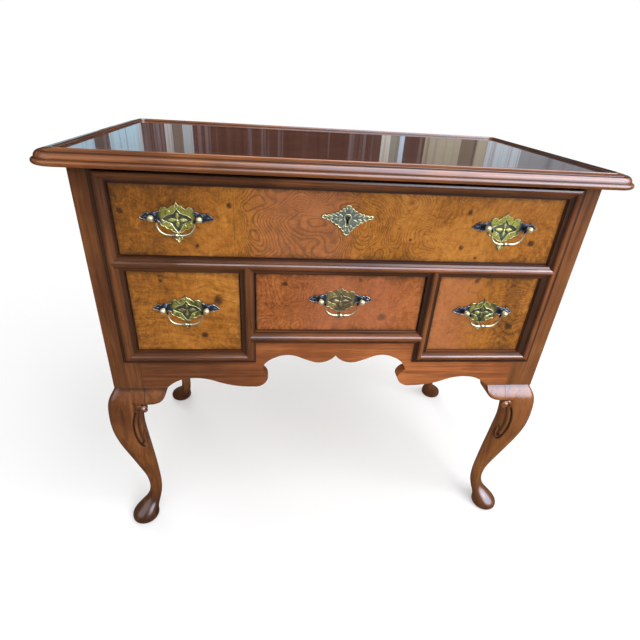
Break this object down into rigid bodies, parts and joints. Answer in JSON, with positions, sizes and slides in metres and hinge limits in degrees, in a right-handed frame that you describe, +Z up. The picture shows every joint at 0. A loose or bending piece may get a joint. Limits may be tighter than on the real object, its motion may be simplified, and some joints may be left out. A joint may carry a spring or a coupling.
{
  "type": "lowboy",
  "caption": "Low chest on cabriole legs: a moulded top, beaded long drawer over small drawers with bail handles, and a scrolled apron.",
  "frame": {"origin": "on the floor at the middle of the footprint of the top", "axes": "+X to the right seen from the front, +Y towards the back, +Z up; the drawer fronts face -Y"},
  "size_m": [0.839, 0.481, 0.735],
  "materials": {
    "case_walnut": "polished figured walnut, dark red-brown",
    "top_walnut": "high polish, dark red-brown",
    "burr_veneer": "polished burr walnut veneer, amber to red-brown",
    "drawer_oak": "dry oak, unpolished",
    "carcase_pine": "dry pine, unpolished",
    "handle_brass": "old brass, dark in the hollows and bright on the edges",
    "lock_steel": "dull iron"
  },
  "bodies": {
    "case": {"top_board": "top_walnut", "top_edge_mouldings": "top_walnut", "front_legs": "case_walnut", "back_legs": "case_walnut", "knee_blocks": "case_walnut", "left_side_panel": "case_walnut", "right_side_panel": "case_walnut", "back_panel": "carcase_pine", "top_rail": "case_walnut", "mid_rail": "case_walnut", "front_apron": "case_walnut", "partitions": "case_walnut", "upper_runners": "carcase_pine", "kickers": "carcase_pine", "side_runners": "carcase_pine", "inner_runners": "carcase_pine", "dust_board": "carcase_pine", "drawer_stops": "carcase_pine", "glue_blocks": "carcase_pine", "bead_top": "case_walnut", "bead_sides": "case_walnut", "bead_mid": "case_walnut", "bead_partitions": "case_walnut", "bead_bottoms": "case_walnut"},
    "top_drawer": {"top_drawer_front": "burr_veneer", "top_drawer_sides": "drawer_oak", "top_drawer_back": "drawer_oak", "top_drawer_bottom": "drawer_oak", "top_drawer_plates": "handle_brass", "top_drawer_posts": "handle_brass", "escutcheon": "handle_brass", "lock_case": "lock_steel"},
    "left_drawer": {"left_drawer_front": "burr_veneer", "left_drawer_sides": "drawer_oak", "left_drawer_back": "drawer_oak", "left_drawer_bottom": "drawer_oak", "left_drawer_plates": "handle_brass", "left_drawer_posts": "handle_brass"},
    "centre_drawer": {"centre_drawer_front": "burr_veneer", "centre_drawer_sides": "drawer_oak", "centre_drawer_back": "drawer_oak", "centre_drawer_bottom": "drawer_oak", "centre_drawer_plates": "handle_brass", "centre_drawer_posts": "handle_brass"},
    "right_drawer": {"right_drawer_front": "burr_veneer", "right_drawer_sides": "drawer_oak", "right_drawer_back": "drawer_oak", "right_drawer_bottom": "drawer_oak", "right_drawer_plates": "handle_brass", "right_drawer_posts": "handle_brass"},
    "top_left_bail": {"top_left_bail": "handle_brass"},
    "top_right_bail": {"top_right_bail": "handle_brass"},
    "left_bail": {"left_bail": "handle_brass"},
    "centre_bail": {"centre_bail": "handle_brass"},
    "right_bail": {"right_bail": "handle_brass"},
    "lock_bolt": {"lock_bolt": "lock_steel"}
  },
  "joints": [
    {"name": "top_drawer_slide", "type": "slide", "parent": "case", "child": "top_drawer", "axis": [0, -1, 0], "range_m": [0, 0.3]},
    {"name": "left_drawer_slide", "type": "slide", "parent": "case", "child": "left_drawer", "axis": [0, -1, 0], "range_m": [0, 0.3]},
    {"name": "centre_drawer_slide", "type": "slide", "parent": "case", "child": "centre_drawer", "axis": [0, -1, 0], "range_m": [0, 0.3]},
    {"name": "right_drawer_slide", "type": "slide", "parent": "case", "child": "right_drawer", "axis": [0, -1, 0], "range_m": [0, 0.3]},
    {"name": "top_left_bail_hinge", "type": "hinge", "parent": "top_drawer", "child": "top_left_bail", "pos_m": [-0.245, -0.2184, 0.6478], "axis": [-1, 0, 0], "range_deg": [-27, 207]},
    {"name": "top_right_bail_hinge", "type": "hinge", "parent": "top_drawer", "child": "top_right_bail", "pos_m": [0.245, -0.2184, 0.6478], "axis": [-1, 0, 0], "range_deg": [-27, 207]},
    {"name": "left_bail_hinge", "type": "hinge", "parent": "left_drawer", "child": "left_bail", "pos_m": [-0.245, -0.2184, 0.50265], "axis": [-1, 0, 0], "range_deg": [-27, 207]},
    {"name": "centre_bail_hinge", "type": "hinge", "parent": "centre_drawer", "child": "centre_bail", "pos_m": [0, -0.2184, 0.52135], "axis": [-1, 0, 0], "range_deg": [-27, 207]},
    {"name": "right_bail_hinge", "type": "hinge", "parent": "right_drawer", "child": "right_bail", "pos_m": [0.245, -0.2184, 0.50265], "axis": [-1, 0, 0], "range_deg": [-27, 207]},
    {"name": "lock_bolt_slide", "type": "slide", "parent": "top_drawer", "child": "lock_bolt", "axis": [0, 0, 1], "range_m": [0, 0.006]}
  ]
}
